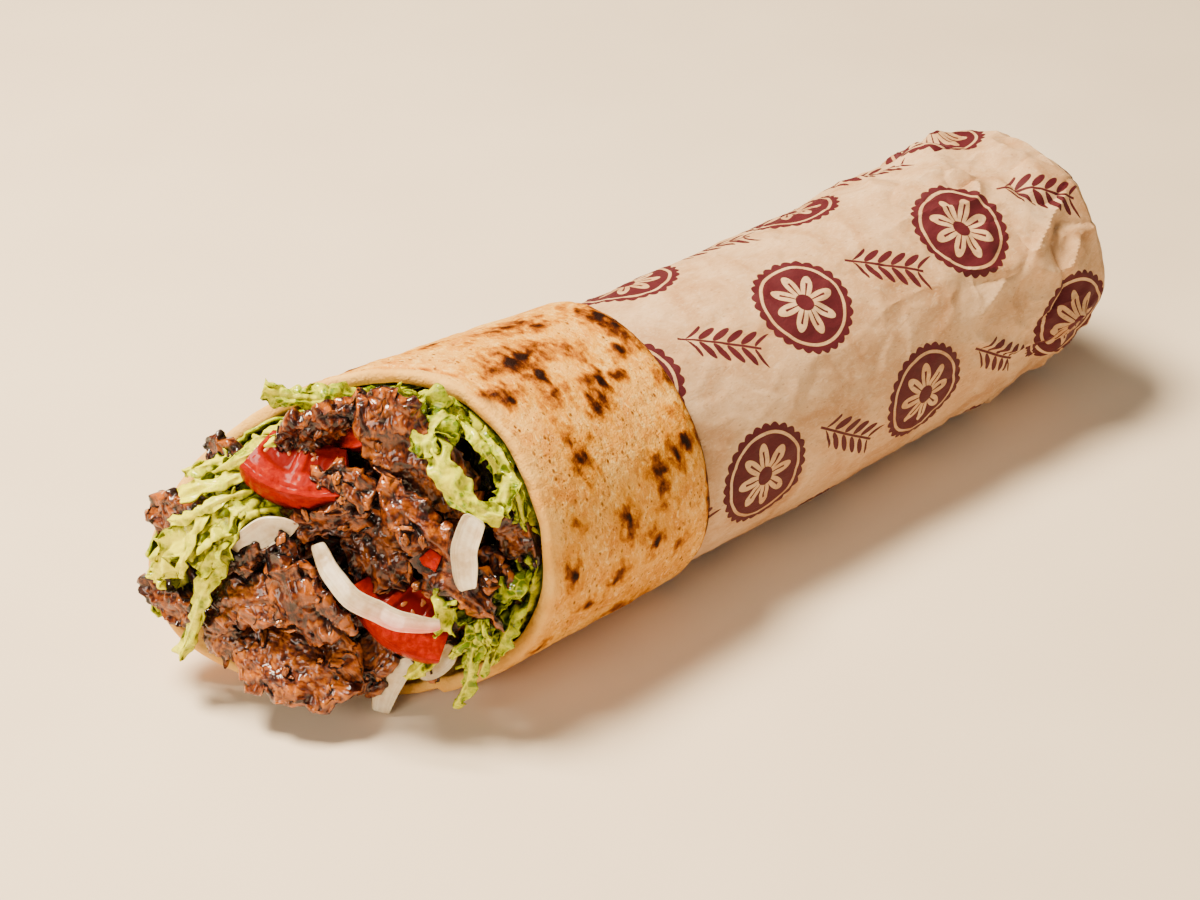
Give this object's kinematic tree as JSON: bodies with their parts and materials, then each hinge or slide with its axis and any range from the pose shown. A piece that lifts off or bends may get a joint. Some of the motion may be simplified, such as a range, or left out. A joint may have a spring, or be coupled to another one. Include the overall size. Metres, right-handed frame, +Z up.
{
  "type": "beef doner wrap",
  "caption": "Rolled flatbread wrap, lower half in a patterned kraft paper sleeve, with shaved beef, lettuce, tomato and onion at its open end.",
  "frame": {"origin": "on the flat base under the paper sleeve, 17 mm behind the sleeve's front edge", "axes": "+X along the wrap from its open mouth to its folded tail, +Z up as it lies, so the mouth faces -X and slants towards -Y"},
  "size_m": [0.2469, 0.0762, 0.0747],
  "materials": {
    "bread": "matte, toasted in spots",
    "paper": null,
    "meat": "browned and oily",
    "lettuce": "crisp leaf",
    "tomato": "wet and glossy",
    "onion": "wet and translucent"
  },
  "bodies": {
    "root": {"flatbread": "bread", "paper_sleeve": "paper", "meat_heap": "meat", "lettuce_far": "lettuce", "lettuce_near": "lettuce", "tomato_upper": "tomato", "tomato_lower": "tomato", "tomato_inner": "tomato", "tomato_bit": "tomato", "onion_long": "onion", "onion_left": "onion", "onion_right": "onion", "onion_low": "onion", "onion_low_right": "onion"}
  },
  "joints": []
}
